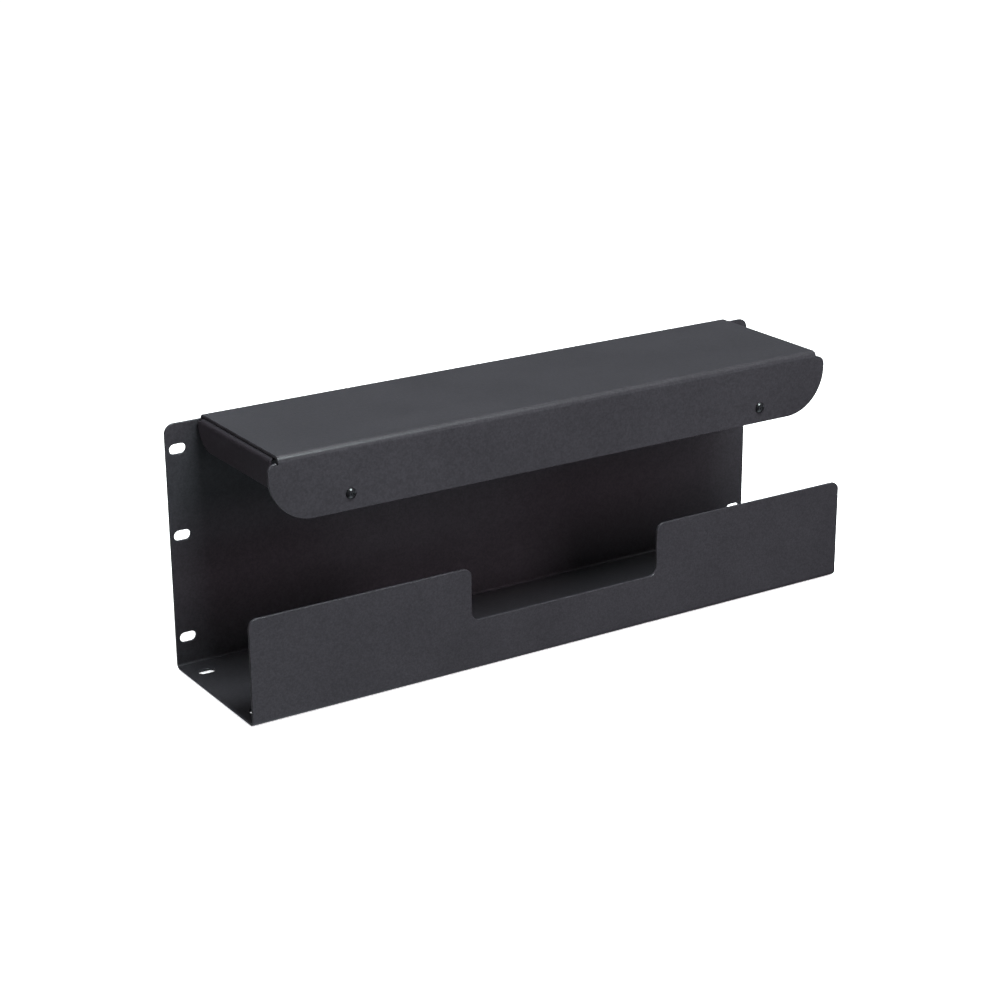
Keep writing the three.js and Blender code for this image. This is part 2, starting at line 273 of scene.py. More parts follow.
def inside(p, loop):
    x, y, hit = p[0], p[1], False
    for (x0, y0), (x1, y1) in zip(loop, loop[1:] + loop[:1]):
        if (y0 > y) != (y1 > y) and x < x0 + (y - y0) * (x1 - x0) / (y1 - y0):
            hit = not hit
    return hit


def far_from(p, arrays, d):
    for a in arrays:
        q = np.roll(a, -1, axis=0)
        e = q - a
        w = np.clip(((p - a) * e).sum(1) / np.maximum((e * e).sum(1), 1e-12), 0, 1)
        if np.min(np.hypot(*(a + e * w[:, None] - p).T)) < d:
            return False
    return True


def sheet_mesh(name, outline, holes, place, rows=(), cols=()):
    """A closed sheet of SHEET thickness with softened edges. rows are (v, u0, u1) lines and
    cols (u, v0, v1) lines in the flat that the mesh must follow, for the bends."""
    loops = []
    for k, pts in enumerate([outline, *holes]):
        pts = clean(pts)
        if (area(pts) > 0) != (k == 0):
            pts = pts[::-1]
        pts = soften(pts)
        pts = split_at(pts, sorted({r[0] for r in rows}))
        pts = swap(split_at(swap(pts), sorted({c[0] for c in cols})))
        loops.append(split_long(pts, MESH))

    rims = []                            # per loop: boundary point, miter vector, direction
    for pts in loops:
        n, rim = len(pts), []
        for i in range(n):
            p, c, q = Vector(pts[i - 1]), Vector(pts[i]), Vector(pts[(i + 1) % n])
            a, b = (c - p).normalized(), (q - c).normalized()
            n1, n2 = Vector((a.y, -a.x)), Vector((b.y, -b.x))
            m = (n1 + n2) / (1 + n1.dot(n2))
            rim.append((c, m, (n1 + n2).normalized()))
        rims.append(rim)

    inner = [[tuple(c - m * EDGE) for c, m, _ in rim] for rim in rims]
    arrays = [np.array(l) for l in inner]
    verts, edges, rim_of = [], [], []
    for l, rim in zip(inner, rims):
        base = len(verts)
        verts += l
        rim_of += [tuple(c) for c, _, _ in rim]
        edges += [(base + i, base + (i + 1) % len(l)) for i in range(len(l))]

    def line(axis, level, lo, hi):
        """Joins the two outline points on u or v = level, from side to side."""
        on = [i for i, c in enumerate(rim_of) if abs(c[axis] - level) < 1e-3 and lo - 0.5 <= c[1 - axis] <= hi + 0.5]
        if len(on) < 2:
            print(name, "no outline points on", axis, level)
            return
        a = min(on, key=lambda i: rim_of[i][1 - axis])
        b = max(on, key=lambda i: rim_of[i][1 - axis])
        p, q = verts[a], verts[b]
        k = max(1, round(math.dist(p, q) / MESH))
        ids = [a]
        for j in range(1, k):
            verts.append((p[0] + (q[0] - p[0]) * j / k, p[1] + (q[1] - p[1]) * j / k))
            ids.append(len(verts) - 1)
        ids.append(b)
        edges.extend(zip(ids, ids[1:]))

    for v, u0, u1 in rows:
        line(1, v, u0, u1)
    for u, v0, v1 in cols:
        line(0, u, v0, v1)
    lo, hi = np.min(arrays[0], axis=0), np.max(arrays[0], axis=0)
    busy = [(min(r[0] for r in rows if abs(r[0] - c) < 6), max(r[0] for r in rows if abs(r[0] - c) < 6)) for c in {r[0] for r in rows}]
    for x in np.arange(lo[0] + MESH / 2, hi[0], MESH):
        for y in np.arange(lo[1] + MESH / 2, hi[1], MESH):
            p = np.array([x, y])
            if any(a - 3 < y < b + 3 for a, b in busy):
                continue
            if any(abs(c[0] - x) < 3 for c in cols):
                continue
            if not inside(p, inner[0]) or any(inside(p, l) for l in inner[1:]):
                continue
            if far_from(p, arrays, 4.0):
                verts.append((float(x), float(y)))

    out = delaunay_2d_cdt([Vector(v) for v in verts], edges, [], 0, 1e-7)
    flat_v = [tuple(v) for v in out[0]]
    origin = out[3]
    at = {}
    for new, olds in enumerate(origin):
        for o in olds:
            at[o] = new
    if len(flat_v) != len(verts):
        print(name, "flat mesh has", len(flat_v), "of", len(verts), "points")
    faces = []
    for f in out[2]:
        c = (sum(flat_v[i][0] for i in f) / len(f), sum(flat_v[i][1] for i in f) / len(f))
        if inside(c, inner[0]) and not any(inside(c, l) for l in inner[1:]):
            faces.append(list(f))

    half = SHEET / 2
    pos, nor, edge_amount, polys = [], [], [], []

    def vertex(u, v, off, du=0.0, dv=0.0, dn=1.0, edge_highlight_weight=0.0, pu=None):
        p, (eu, ev, en) = place(u, v, off)
        pos.append(row(p))
        nor.append((eu * du + ev * dv + en * dn).normalized())
        edge_amount.append(edge_highlight_weight)
        return len(pos) - 1

    outer = [vertex(u, v, half) for u, v in flat_v]
    under = [vertex(u, v, -half, dn=-1.0) for u, v in flat_v]
    for f in faces:
        polys.append([outer[i] for i in reversed(f)])
        polys.append([under[i] for i in f])

    steps = 4
    start = 0
    for rim, l in zip(rims, inner):
        rings = [[outer[at[start + i]] for i in range(len(l))]]
        for side in (1, -1):
            order = range(1, steps + 1) if side == 1 else range(steps, 0, -1)
            for k in order:
                a = math.pi / 2 * k / steps
                off = side * (half - EDGE * (1 - math.cos(a)))
                ring = []
                for c, m, d in rim:
                    q = c - m * EDGE * (1 - math.sin(a))
                    ring.append(vertex(q.x, q.y, off, d.x * math.sin(a), d.y * math.sin(a), side * math.cos(a),
                                       edge_highlight_weight=math.sin(a)))
                rings.append(ring)
        rings.append([under[at[start + i]] for i in range(len(l))])
        for r0, r1 in zip(rings, rings[1:]):
            n = len(l)
            for i in range(n):
                polys.append([r0[i], r0[(i + 1) % n], r1[(i + 1) % n], r1[i]])
        start += len(l)

    used = sorted({i for p in polys for i in p})
    remap = {o: i for i, o in enumerate(used)}
    mesh = bpy.data.meshes.new(name)
    mesh.from_pydata([pos[i] for i in used], [], [[remap[i] for i in p] for p in polys])
    bm = bmesh.new()
    bm.from_mesh(mesh)
    bmesh.ops.recalc_face_normals(bm, faces=bm.faces[:])
    loose = sum(1 for e in bm.edges if len(e.link_faces) != 2)
    if loose:
        print(name, "open edges:", loose)
    bm.to_mesh(mesh)
    bm.free()
    # This weight is 1 on the rounded edges; the coat's shader uses it to paint a highlight there.
    edge_highlight_weight = mesh.attributes.new("painted_edge_highlight", "FLOAT", "POINT")
    edge_highlight_weight.data.foreach_set("value", [edge_amount[i] for i in used])
    mesh.polygons.foreach_set("use_smooth", [True] * len(mesh.polygons))
    mesh.normals_split_custom_set_from_vertices([nor[i] for i in used])
    mesh.update()
    obj = bpy.data.objects.new(name, mesh)
    bpy.context.scene.collection.objects.link(obj)
    return obj


# ------------------------------------------------------------------ tray
def make_tray():
    lip = LIP_HEIGHT - R_OUT
    floor = DEPTH - 2 * R_OUT
    back = EAR_TOP - R_OUT
    strip = Strip((FRONT_Y + SHEET / 2, LIP_HEIGHT), -90,
                  [("run", lip), ("bend", 90), ("run", floor), ("bend", 90), ("run", back)])
    bend = R_MID * math.pi / 2
    top = strip.length

    def s_back(z):
        return top - (EAR_TOP - z)

    def s_floor(y):
        return lip + bend + (y - (FRONT_Y + R_OUT))

    nx0, nx1 = WIDTH / 2 - NOTCH_WIDTH / 2, WIDTH / 2 + NOTCH_WIDTH / 2
    depth = LIP_HEIGHT - NOTCH_FLOOR
    r, c, b = NOTCH_R, LIP_CORNER_R, BACK_CORNER_R
    outline = (
        arc(c, c, c, 180, 270, 16)
        + arc(nx0 - r, r, r, -90, 0, 16) + arc(nx0 + r, depth - r, r, 180, 90, 16)
        + arc(nx1 - r, depth - r, r, 90, 0, 16) + arc(nx1 + r, r, r, 180, 270, 16)
        + arc(WIDTH - c, c, c, -90, 0, 16)
        + arc(WIDTH - b, top - b, b, 0, 90, 16) + arc(b, top - b, b, 90, 180, 16)
    )
    holes = [stadium(x, s_back(z), SLOT_LENGTH, SLOT_WIDTH)
             for z in SLOT_ROWS for x in (SLOT_INSET, WIDTH - SLOT_INSET)]
    holes += [stadium(x, s_floor(y), SLOT_LENGTH, SLOT_WIDTH)
              for y in (SHEET - FLOOR_SLOT_EDGE, FRONT_Y + FLOOR_SLOT_EDGE)
              for x in (FLOOR_SLOT_INSET, WIDTH - FLOOR_SLOT_INSET)]
    rows = [(s, 0, WIDTH) for s in strip.levels()]
    return sheet_mesh("tray_sheet", outline, holes, strip.place, rows)


# ------------------------------------------------------------------ hood
def make_hood():
    x0 = (WIDTH - HOOD_WIDTH) / 2
    f0 = (WIDTH - FLANGE_WIDTH) / 2
    rear = HOOD_REAR_HEIGHT - R_OUT
    topd = HOOD_FRONT - GAP - 2 * R_OUT
    front = EAR_TOP - FLANGE_BOTTOM
    strip = Strip((-GAP - SHEET / 2, HEIGHT - HOOD_REAR_HEIGHT), 90,
                  [("run", rear), ("bend", 90), ("run", topd), ("bend", 90), ("run", front)])
    end = strip.length
    s_ear = end - front                 # top of the ears
    rl, ru, rr = FLANGE_R_LOW, FLANGE_R_UP, 5.0
    left = (
        arc(x0 + rr, rr, rr, 270, 180, 10)
        + [(x0, s_ear + RELIEF_D), (x0 - RELIEF_W, s_ear + RELIEF_D), (x0 - RELIEF_W, s_ear)]
        + arc(f0 + ru, s_ear + ru, ru, 270, 180, 16)
        + arc(f0 + rl, end - rl, rl, 180, 90, 48)
    )
    right = [(WIDTH - x, s) for x, s in reversed(left)]
    outline = left + right
    e1 = s_ear
    screw_s = e1 + (EAR_TOP - SCREW_HEIGHT)
    holes = [disc(x, screw_s, HOOD_HOLE_R) for x in (X_L, X_R)]
    rows = [(s, x0, WIDTH - x0) for s in strip.levels()]
    return sheet_mesh("hood_sheet", outline, holes, strip.place, rows)


# ------------------------------------------------------------------ inner bracket
def make_bracket():
    top = HEIGHT - SHEET - GAP
    bx0 = (WIDTH - BRACKET_WIDTH) / 2
    br_front = HOOD_Y + SHEET + GAP
    xa, xb = bx0 + R_OUT, WIDTH - bx0 - R_OUT
    vf = -(br_front + R_OUT)
    bend = R_MID * math.pi / 2
    lid = Lid(top - SHEET / 2, xa, xb, vf)
    end_len = BRACKET_END_HEIGHT - R_OUT
    front_len = BRACKET_FRONT_HEIGHT - R_OUT
    u0 = xa - bend - end_len
    v_rear, v_top = BRACKET_END_REAR, GAP + R_OUT + 0.2
    v_step = vf - BRACKET_RELIEF
    xf = (WIDTH - BRACKET_FRONT_WIDTH) / 2
    v1 = vf + bend + front_len
    u_step = xa - bend + R_MID * math.radians(28.5)
    r, rf = BRACKET_END_R, BRACKET_FRONT_R
    left = (
        [(u_step, v_top), (u_step, v_rear)]
        + arc(u0 + r, v_rear + r, r, 270, 180, 24)
        + [(u0, v_step), (xf, v_step)]
        + arc(xf + rf, v1 - rf, rf, 180, 90, 20)
    )
    right = [(WIDTH - u, v) for u, v in reversed(left)]
    outline = left + right
    screw_v = vf + bend + (top - R_OUT - SCREW_HEIGHT)
    holes = [disc(x, screw_v, BRACKET_HOLE_R) for x in (X_L, X_R)]
    rows = [(vf + bend * i / BEND_STEPS, xf, WIDTH - xf) for i in range(BEND_STEPS + 1)]
    cols = []
    for i in range(BEND_STEPS + 1):
        d = bend * i / BEND_STEPS
        if -0.1 < xa - d - (u_step - 0.46) < 0.46:
            continue                     # falls on the rounded corner of the step
        for u in (xa - d, xb + d):
            rear = v_top if (xa - d >= u_step) else v_rear
            cols.append((u, rear, v_step))
    return sheet_mesh("bracket_sheet", outline, holes, lid.place, rows, cols)


# ------------------------------------------------------------------ fasteners
def turned(name, profile, x, z, segments=96, socket=None):
    """Rings about an axis along +Y; profile points are (radius, y). With socket =
    (across flats, depth), the first ring is joined to a hexagon socket."""
    bm = bmesh.new()

    def ring(points, y):
        return [bm.verts.new(row((x + px, y, z + pz))) for px, pz in points]

    angles = [2 * math.pi * i / segments for i in range(segments)]
    rings = []
    for r, y in profile:
        if r < 1e-9:
            rings.append([bm.verts.new(row((x, y, z)))])
        else:
            rings.append(ring([(r * math.cos(a), r * math.sin(a)) for a in angles], y))
    for a, b in zip(rings, rings[1:]):
        n = segments
        for i in range(n):
            j = (i + 1) % n
            if len(a) == 1 and len(b) > 1:
                bm.faces.new((a[0], b[j], b[i]))
            elif len(b) == 1 and len(a) > 1:
                bm.faces.new((a[i], a[j], b[0]))
            elif len(a) > 1:
                bm.faces.new((a[i], a[j], b[j], b[i]))
    if socket:
        af, depth, rim = socket
        y0 = profile[0][1]

        def hexagon(size, y):
            pts = []
            for a in angles:
                k = (a - math.radians(30)) % math.radians(60) - math.radians(30)
                corner = size / 2 / math.cos(k)
                corner = min(corner, size / 2 / math.cos(math.radians(30)) * 0.985)
                pts.append((corner * math.cos(a), corner * math.sin(a)))
            return ring(pts, y)

        inner = [hexagon(af + 2 * rim, y0), hexagon(af + 0.6 * rim, y0 + 0.25 * rim),
                 hexagon(af, y0 + rim), hexagon(af, y0 + depth)]
        tip = [ring([(af * 0.18 * math.cos(a), af * 0.18 * math.sin(a)) for a in angles], y0 + depth + 0.45)]
        centre = bm.verts.new(row((x, y0 + depth + 0.6, z)))
        chain = [rings[0], *inner, *tip]
        for a, b in zip(chain, chain[1:]):
            for i in range(segments):
                j = (i + 1) % segments
                bm.faces.new((a[i], a[j], b[j], b[i]))
        for i in range(segments):
            bm.faces.new((chain[-1][i], chain[-1][(i + 1) % segments], centre))
    bmesh.ops.recalc_face_normals(bm, faces=bm.faces[:])
    for f in bm.faces:
        f.smooth = True
    for e in bm.edges:
        if len(e.link_faces) == 2 and e.calc_face_angle(0) > math.radians(38):
            e.smooth = False
    mesh = bpy.data.meshes.new(name)
    bm.to_mesh(mesh)
    bm.free()
    obj = bpy.data.objects.new(name, mesh)
    bpy.context.scene.collection.objects.link(obj)
    return obj


def make_screw(name, x):
    top = HEAD_Y - HEAD_H
    a0, a1 = math.asin(CROWN_R / DOME_R), math.asin(HEAD_R / DOME_R)
    n = 18
    profile = []
    for i in range(n + 1):
        a = a0 + (a1 - a0) * i / n
        profile.append((DOME_R * math.sin(a), top + DOME_R * (math.cos(a0) - math.cos(a))))
    skirt = profile[-1][1]
    profile += [(HEAD_R, skirt + (HEAD_Y - skirt) * 0.5), (HEAD_R - 0.03, HEAD_Y - 0.08), (HEAD_R - 0.12, HEAD_Y),
                (SHANK_R + 0.15, HEAD_Y), (SHANK_R, HEAD_Y + 0.15)]
    # Rolled thread, as rings: crests at the shank's radius, shallow roots between them.
    y, tip = HEAD_Y + 0.6, HEAD_Y + SHANK_LENGTH
    while y < tip - 1.0:
        profile += [(SHANK_R, y), (SHANK_R, y + 0.09), (SHANK_R - 0.28, y + 0.33), (SHANK_R - 0.28, y + 0.46)]
        y += 0.7
    profile += [(SHANK_R, tip - 0.55), (SHANK_R - 0.45, tip - 0.04), (SHANK_R - 0.55, tip), (0.0, tip)]
    return turned(name, profile, x, SCREW_HEIGHT, socket=(SOCKET_AF, SOCKET_DEPTH - 0.6, 0.12))


def make_nut(name, x):
    br_front = HOOD_Y + SHEET + GAP
    face = br_front + SHEET + GAP
    a, b = br_front + 0.2, face + NUT_T
    bore = NUT_BORE_R
    profile = [(bore + 0.35, a), (NUT_SHANK_R - 0.12, a), (NUT_SHANK_R, a + 0.12), (NUT_SHANK_R, a + 0.9),
               (NUT_SHANK_R - 0.14, a + 1.05), (NUT_SHANK_R - 0.14, face - 0.25), (NUT_SHANK_R, face - 0.1), (NUT_SHANK_R, face),
               (NUT_R - 0.12, face), (NUT_R, face + 0.12), (NUT_R, b - 0.45), (NUT_R - 0.1, b - 0.3),
               (NUT_R - 0.4, b - 0.03), (NUT_R - 0.5, b), (bore + 0.45, b), (bore + 0.05, b - 0.35)]
    y = b - 0.6
    while y > a + 1.1:
        profile += [(bore + 0.22, y), (bore + 0.22, y - 0.1), (bore, y - 0.3), (bore, y - 0.38)]
        y -= 0.7
    profile += [(bore + 0.02, a + 0.4), (bore + 0.35, a)]
    obj = turned(name, profile, x, SCREW_HEIGHT, segments=72)
    bm = bmesh.new()
    bm.from_mesh(obj.data)
    bmesh.ops.remove_doubles(bm, verts=bm.verts[:], dist=1e-7)
    bmesh.ops.recalc_face_normals(bm, faces=bm.faces[:])
    bm.to_mesh(obj.data)
    bm.free()
    return obj


# ------------------------------------------------------------------ materials
def nodes_of(name):
    mat = bpy.data.materials.new(name)
    mat.use_nodes = True
    tree = mat.node_tree
    tree.nodes.clear()
    return mat, tree


def add(tree, kind, **values):
    node = tree.nodes.new(kind)
    for key, value in values.items():
        if key.startswith("in_"):
            k = key[3:]
            socket = node.inputs[int(k)] if k.isdigit() else node.inputs[k.replace("_", " ")]
            socket.default_value = value
        else:
            setattr(node, key, value)
    return node


def ramp(tree, source, stops):
    node = tree.nodes.new("ShaderNodeValToRGB")
    el = node.color_ramp.elements
    while len(el) < len(stops):
        el.new(0.5)
    for e, (at, col) in zip(el, stops):
        e.position = at
        e.color = (*col, 1.0) if len(col) == 3 else col
    tree.links.new(source, node.inputs["Fac"])
    return node


def powder_coat(name, base, rough, seed):
    """Fine-texture powder coat: sand-like grain over a slow orange-peel wave, a little
    unevenness in colour and gloss, and paler edges painted as a highlight on the rounded arrises, broken into patches
    by noise."""
    mat, t = nodes_of(name)
    link = t.links.new
    coord = add(t, "ShaderNodeTexCoord")
    moved = add(t, "ShaderNodeMapping", vector_type="POINT")
    moved.inputs["Location"].default_value = (seed, seed * 0.37, -seed * 0.71)
    link(coord.outputs["Object"], moved.inputs["Vector"])
    v = moved.outputs["Vector"]

    grain = add(t, "ShaderNodeTexNoise", in_Scale=1500.0, in_Detail=3.0, in_Roughness=0.62)
    peel = add(t, "ShaderNodeTexNoise", in_Scale=330.0, in_Detail=2.0, in_Roughness=0.5)
    cloud = add(t, "ShaderNodeTexNoise", in_Scale=16.0, in_Detail=4.0, in_Roughness=0.55)
    speck = add(t, "ShaderNodeTexVoronoi", in_Scale=900.0, feature="F1")
    sandy = add(t, "ShaderNodeTexNoise", in_Scale=760.0, in_Detail=2.0, in_Roughness=0.6)
    edge_patch_noise = add(t, "ShaderNodeTexNoise", in_Scale=95.0, in_Detail=5.0, in_Roughness=0.65)
    for n in (grain, peel, cloud, speck, sandy, edge_patch_noise):
        link(v, n.inputs["Vector"])

    # Colour: a base, slow clouds, fine grain, and paler edges as a painted highlight in patches.
    slow = ramp(t, cloud.outputs["Fac"], [(0.3, tuple(c * 0.93 for c in base)), (0.7, tuple(c * 1.07 for c in base))])
    fine = ramp(t, grain.outputs["Fac"], [(0.32, (0.86, 0.86, 0.86)), (0.68, (1.14, 1.14, 1.15))])
    tone = add(t, "ShaderNodeMix", data_type="RGBA", blend_type="MULTIPLY", clamp_result=False)
    tone.inputs["Factor"].default_value = 1.0
    link(slow.outputs["Color"], tone.inputs["A"])
    link(fine.outputs["Color"], tone.inputs["B"])
    coarse = ramp(t, sandy.outputs["Fac"], [(0.34, (0.80, 0.80, 0.80)), (0.66, (1.22, 1.22, 1.23))])
    mottled = add(t, "ShaderNodeMix", data_type="RGBA", blend_type="MULTIPLY", clamp_result=False)
    mottled.inputs["Factor"].default_value = 1.0
    link(tone.outputs["Result"], mottled.inputs["A"])
    link(coarse.outputs["Color"], mottled.inputs["B"])
    # Edge weight from the mesh, 1 on the rounded edges, for the painted highlight.
    edge_highlight_weight = add(t, "ShaderNodeAttribute", attribute_name="painted_edge_highlight")
    where = ramp(t, edge_patch_noise.outputs["Fac"], [(0.42, (0, 0, 0)), (0.66, (1, 1, 1))])
    amount = add(t, "ShaderNodeMath", operation="MULTIPLY")
    link(edge_highlight_weight.outputs["Fac"], amount.inputs[0])
    link(where.outputs["Color"], amount.inputs[1])
    soft = add(t, "ShaderNodeMath", operation="MULTIPLY", in_1=0.55)
    link(amount.outputs[0], soft.inputs[0])
    # Painted highlight: the patchy edge weight mixes the coat towards 2.3 times its base colour.
    edge_lightened = add(t, "ShaderNodeMix", data_type="RGBA", blend_type="MIX")
    link(soft.outputs[0], edge_lightened.inputs["Factor"])
    link(mottled.outputs["Result"], edge_lightened.inputs["A"])
    edge_lightened.inputs["B"].default_value = (base[0] * 2.3, base[1] * 2.3, base[2] * 2.35, 1.0)

    # Gloss: grain makes it uneven.
    dull = add(t, "ShaderNodeMapRange")
    dull.inputs["From Min"].default_value, dull.inputs["From Max"].default_value = 0.3, 0.7
    dull.inputs["To Min"].default_value, dull.inputs["To Max"].default_value = rough - 0.03, rough + 0.04
    both = add(t, "ShaderNodeMath", operation="ADD")
    part = add(t, "ShaderNodeMath", operation="MULTIPLY", in_1=0.5)
    part2 = add(t, "ShaderNodeMath", operation="MULTIPLY", in_1=0.5)
    link(grain.outputs["Fac"], part.inputs[0])
    link(cloud.outputs["Fac"], part2.inputs[0])
    link(part.outputs[0], both.inputs[0])
    link(part2.outputs[0], both.inputs[1])
    link(both.outputs[0], dull.inputs["Value"])

    wave = add(t, "ShaderNodeBump", in_Strength=0.35, in_Distance=0.00009)
    link(peel.outputs["Fac"], wave.inputs["Height"])
    dots = ramp(t, speck.outputs["Distance"], [(0.0, (1, 1, 1)), (0.55, (0, 0, 0))])
    sand = add(t, "ShaderNodeMath", operation="ADD")
    link(grain.outputs["Fac"], sand.inputs[0])
    part3 = add(t, "ShaderNodeMath", operation="MULTIPLY", in_1=0.35)
    link(dots.outputs["Color"], part3.inputs[0])
    link(part3.outputs[0], sand.inputs[1])
    pebble = add(t, "ShaderNodeBump", in_Strength=0.28, in_Distance=0.00010)
    link(sandy.outputs["Fac"], pebble.inputs["Height"])
    link(wave.outputs["Normal"], pebble.inputs["Normal"])
    bump = add(t, "ShaderNodeBump", in_Strength=0.4, in_Distance=0.00006)
    link(sand.outputs[0], bump.inputs["Height"])
    link(pebble.outputs["Normal"], bump.inputs["Normal"])

    shader = add(t, "ShaderNodeBsdfPrincipled")
    shader.inputs["Metallic"].default_value = 0.0
    shader.inputs["Specular IOR Level"].default_value = 0.42
    link(edge_lightened.outputs["Result"], shader.inputs["Base Color"])
    link(dull.outputs["Result"], shader.inputs["Roughness"])
    link(bump.outputs["Normal"], shader.inputs["Normal"])
    out = add(t, "ShaderNodeOutputMaterial")
    link(shader.outputs["BSDF"], out.inputs["Surface"])
    return mat


def plated(name, base, rough, metallic, grain_scale, bump_strength, seed, worn_colour):
    """Small turned steel parts: fine turning marks round the axis, uneven gloss, rubbed spots."""
    mat, t = nodes_of(name)
    link = t.links.new
    coord = add(t, "ShaderNodeTexCoord")
    moved = add(t, "ShaderNodeMapping")
    moved.inputs["Location"].default_value = (seed, seed * 0.53, seed * 0.19)
    link(coord.outputs["Object"], moved.inputs["Vector"])
    v = moved.outputs["Vector"]
    fine = add(t, "ShaderNodeTexNoise", in_Scale=grain_scale, in_Detail=3.0, in_Roughness=0.6)
    marks = add(t, "ShaderNodeTexWave", in_Scale=2600.0, in_Distortion=1.2, in_Detail=2.0, bands_direction="Y")
    cloud = add(t, "ShaderNodeTexNoise", in_Scale=420.0, in_Detail=4.0, in_Roughness=0.6)
    for n in (fine, marks, cloud):
        link(v, n.inputs["Vector"])
    col = ramp(t, cloud.outputs["Fac"], [(0.3, tuple(c * 0.88 for c in base)), (0.62, tuple(c * 1.1 for c in base)), (0.78, worn_colour)])
    gloss = add(t, "ShaderNodeMapRange")
    gloss.inputs["From Min"].default_value, gloss.inputs["From Max"].default_value = 0.3, 0.7
    gloss.inputs["To Min"].default_value, gloss.inputs["To Max"].default_value = rough - 0.05, rough + 0.08
    link(fine.outputs["Fac"], gloss.inputs["Value"])
    b1 = add(t, "ShaderNodeBump", in_Strength=bump_strength, in_Distance=0.00002)
    link(fine.outputs["Fac"], b1.inputs["Height"])
    b2 = add(t, "ShaderNodeBump", in_Strength=bump_strength * 0.6, in_Distance=0.00001)
    link(marks.outputs["Fac"], b2.inputs["Height"])
    link(b1.outputs["Normal"], b2.inputs["Normal"])
    shader = add(t, "ShaderNodeBsdfPrincipled")
    shader.inputs["Metallic"].default_value = metallic
    link(col.outputs["Color"], shader.inputs["Base Color"])
    link(gloss.outputs["Result"], shader.inputs["Roughness"])
    link(b2.outputs["Normal"], shader.inputs["Normal"])
    out = add(t, "ShaderNodeOutputMaterial")
    link(shader.outputs["BSDF"], out.inputs["Surface"])
    return mat


COAT = (0.0303, 0.0281, 0.0317)
tray_mat = powder_coat("tray_powder_coat", COAT, 0.31, 0.0)
hood_mat = powder_coat("hood_powder_coat", COAT, 0.31, 3.1)
# The bracket's coat is the tray's coat made darker and pinker: painted shade and tint for its place under the hood.
bracket_mat = powder_coat("bracket_powder_coat_painted_shade", (0.0270, 0.0225, 0.0270), 0.36, 7.7)
screw_mat = plated("black_oxide", (0.010, 0.010, 0.011), 0.20, 0.0, 1800.0, 0.05, 0.4, (0.022, 0.022, 0.023))
nut_mat = plated("clear_zinc", (0.56, 0.57, 0.59), 0.30, 1.0, 1500.0, 0.12, 1.9, (0.68, 0.68, 0.69))

tray = make_tray()
hood = make_hood()
bracket = make_bracket()
screw_l, screw_r = make_screw("screw_left_finished", X_L), make_screw("screw_right_finished", X_R)
nut_l, nut_r = make_nut("nut_left_finished", X_L), make_nut("nut_right_finished", X_R)

for obj, mat, node, body, slot in (
    (tray, tray_mat, "tray_body", "tray", "tray_coating"),
    (hood, hood_mat, "hood", "tray", "hood_coating"),
    (bracket, bracket_mat, "inner_bracket", "tray", "bracket_coating"),
    (screw_l, screw_mat, "screw_left", "screw_left", "black_screw"),
    (screw_r, screw_mat, "screw_right", "screw_right", "black_screw"),
    (nut_l, nut_mat, "clinch_nut_left", "tray", "zinc_nut"),
    (nut_r, nut_mat, "clinch_nut_right", "tray", "zinc_nut"),
):
    obj.data.materials.append(mat)
    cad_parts[node].data.materials.clear()
    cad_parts[node].data.materials.append(mat)
    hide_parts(node)
    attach(obj, body)

# ------------------------------------------------------------------ stage, light, camera
floor_mesh = bpy.data.meshes.new("floor")
S = 30.0
floor_mesh.from_pydata([(-S, -S, -0.0006), (S, -S, -0.0006), (S, S, -0.0006), (-S, S, -0.0006)], [], [(0, 1, 2, 3)])
floor = bpy.data.objects.new("floor", floor_mesh)
bpy.context.scene.collection.objects.link(floor)
floor_mat, ft = nodes_of("pale_floor")
fs = add(ft, "ShaderNodeBsdfPrincipled")
fs.inputs["Base Color"].default_value = (0.93, 0.93, 0.93, 1.0)
fs.inputs["Roughness"].default_value = 0.9
fs.inputs["Specular IOR Level"].default_value = 0.1
fs.inputs["Emission Color"].default_value = (1.0, 1.0, 1.0, 1.0)
fs.inputs["Emission Strength"].default_value = 0.70
fo = add(ft, "ShaderNodeOutputMaterial")
ft.links.new(fs.outputs["BSDF"], fo.inputs["Surface"])
floor.data.materials.append(floor_mat)
floor.visible_glossy = False
floor.visible_diffuse = False

world = bpy.data.worlds.new("studio")
world.use_nodes = True
wt = world.node_tree
bg = wt.nodes["Background"]
# A soft room: paler in front and below, dimmer behind, and fading towards +X.
sky = add(wt, "ShaderNodeTexCoord")
split = add(wt, "ShaderNodeSeparateXYZ")
wt.links.new(sky.outputs["Generated"], split.inputs["Vector"])
SKY_FRONT = ((-1.0, 1.4), (-0.62, 1.25), (-0.49, 0.8), (-0.42, 0.45), (-0.35, 0.16), (-0.25, 0.12), (-0.17, 0.5), (-0.12, 2.4), (-0.05, 2.4), (0.03, 0.4), (0.20, 0.20), (0.50, 0.12), (0.74, 0.14), (0.84, 0.9), (0.97, 0.6))
SKY_BACK = ((-1.0, 1.2), (-0.60, 0.7), (-0.33, 0.30), (0.0, 0.22), (0.22, 0.24), (0.33, 0.26), (0.50, 0.24), (0.62, 0.18), (0.75, 0.20), (0.84, 0.7), (0.97, 0.6))
SKY_MAX = 2.5
SKY_TINT = (0.90, 1.03, 1.11)


def spread(source, lo, hi, to_lo=0.0, to_hi=1.0):
    node = add(wt, "ShaderNodeMapRange", interpolation_type="SMOOTHSTEP")
    for key, v in (("From Min", lo), ("From Max", hi), ("To Min", to_lo), ("To Max", to_hi)):
        node.inputs[key].default_value = v
    wt.links.new(source, node.inputs["Value"])
    return node.outputs["Result"]


